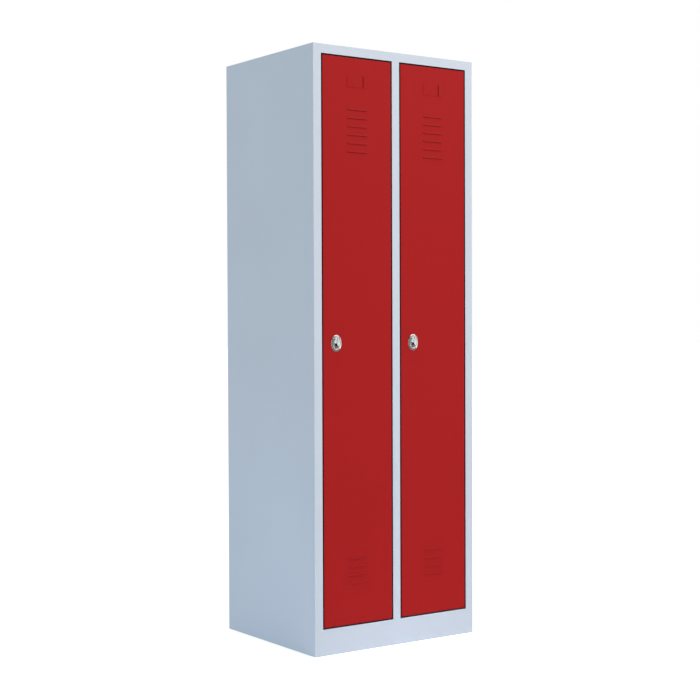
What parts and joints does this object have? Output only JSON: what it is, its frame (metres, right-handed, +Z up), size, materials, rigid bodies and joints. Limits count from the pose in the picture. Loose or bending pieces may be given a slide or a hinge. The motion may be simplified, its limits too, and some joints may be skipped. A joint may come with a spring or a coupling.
{
  "type": "metal locker",
  "caption": "Tall steel clothes locker: grey carcass, red louvred doors side by side, turning handles that take a padlock, hat shelves, coat rails with sliding hooks.",
  "frame": {"origin": "middle of the footprint, on the floor", "axes": "+Z up, the doors face -Y, +X to the right seen from in front of the doors"},
  "size_m": [0.6, 0.513, 1.8],
  "materials": {
    "grey_paint": "satin",
    "red_paint": "satin",
    "chrome": "polished",
    "zinc": "bright zinc plate",
    "rubber": "matt"
  },
  "bodies": {
    "carcass": {"left_side_panel": "grey_paint", "right_side_panel": "grey_paint", "roof_panel": "grey_paint", "back_panel": "grey_paint", "floor_panel": "grey_paint", "stile_plates": "grey_paint", "plinth_panel": "grey_paint", "centre_post": "grey_paint", "partition": "grey_paint", "left_hat_shelf": "grey_paint", "right_hat_shelf": "grey_paint", "left_shelf_clips": "grey_paint", "right_shelf_clips": "grey_paint", "left_coat_rail": "chrome", "right_coat_rail": "chrome", "left_rail_brackets": "zinc", "right_rail_brackets": "zinc", "rail_screws": "zinc", "rail_nuts": "zinc", "back_rivets": "zinc", "left_hinge_lugs": "grey_paint", "right_hinge_lugs": "grey_paint", "left_buffers": "rubber", "right_buffers": "rubber"},
    "left_door": {"left_door_panel": "red_paint", "left_door_stiffener": "red_paint", "left_hinge_ears": "red_paint", "left_hinge_pins": "zinc", "left_lock_rosette": "chrome", "left_lock_nut": "zinc", "left_towel_rail": "chrome", "left_towel_brackets": "red_paint"},
    "left_lock": {"left_lock_handle": "chrome", "left_spindle_clip": "zinc", "left_lock_cam": "zinc", "left_cam_washer": "zinc", "left_cam_screw": "zinc"},
    "left_hook_1_body": {"left_hook_1": "zinc"},
    "left_hook_2_body": {"left_hook_2": "zinc"},
    "left_hook_3_body": {"left_hook_3": "zinc"},
    "right_door": {"right_door_panel": "red_paint", "right_door_stiffener": "red_paint", "right_hinge_ears": "red_paint", "right_hinge_pins": "zinc", "right_lock_rosette": "chrome", "right_lock_nut": "zinc", "right_towel_rail": "chrome", "right_towel_brackets": "red_paint"},
    "right_lock": {"right_lock_handle": "chrome", "right_spindle_clip": "zinc", "right_lock_cam": "zinc", "right_cam_washer": "zinc", "right_cam_screw": "zinc"},
    "right_hook_1_body": {"right_hook_1": "zinc"},
    "right_hook_2_body": {"right_hook_2": "zinc"},
    "right_hook_3_body": {"right_hook_3": "zinc"}
  },
  "joints": [
    {"name": "left_door_hinge", "type": "hinge", "parent": "carcass", "child": "left_door", "pos_m": [-0.0245, -0.2385, 0.9255], "axis": [0, 0, 1], "range_deg": [0, 105]},
    {"name": "left_lock_turn", "type": "hinge", "parent": "left_door", "child": "left_lock", "pos_m": [-0.221, -0.2445, 0.9255], "axis": [0, 1, 0], "range_deg": [0, 90]},
    {"name": "left_hook_1_slide", "type": "slide", "parent": "carcass", "child": "left_hook_1_body", "axis": [1, 0, 0], "range_m": [-0.03, 0.03]},
    {"name": "left_hook_2_slide", "type": "slide", "parent": "carcass", "child": "left_hook_2_body", "axis": [1, 0, 0], "range_m": [-0.03, 0.03]},
    {"name": "left_hook_3_slide", "type": "slide", "parent": "carcass", "child": "left_hook_3_body", "axis": [1, 0, 0], "range_m": [-0.03, 0.03]},
    {"name": "right_door_hinge", "type": "hinge", "parent": "carcass", "child": "right_door", "pos_m": [0.261, -0.2385, 0.9255], "axis": [0, 0, 1], "range_deg": [0, 105]},
    {"name": "right_lock_turn", "type": "hinge", "parent": "right_door", "child": "right_lock", "pos_m": [0.0645, -0.2445, 0.9255], "axis": [0, 1, 0], "range_deg": [0, 90]},
    {"name": "right_hook_1_slide", "type": "slide", "parent": "carcass", "child": "right_hook_1_body", "axis": [1, 0, 0], "range_m": [-0.03, 0.03]},
    {"name": "right_hook_2_slide", "type": "slide", "parent": "carcass", "child": "right_hook_2_body", "axis": [1, 0, 0], "range_m": [-0.03, 0.03]},
    {"name": "right_hook_3_slide", "type": "slide", "parent": "carcass", "child": "right_hook_3_body", "axis": [1, 0, 0], "range_m": [-0.03, 0.03]}
  ]
}
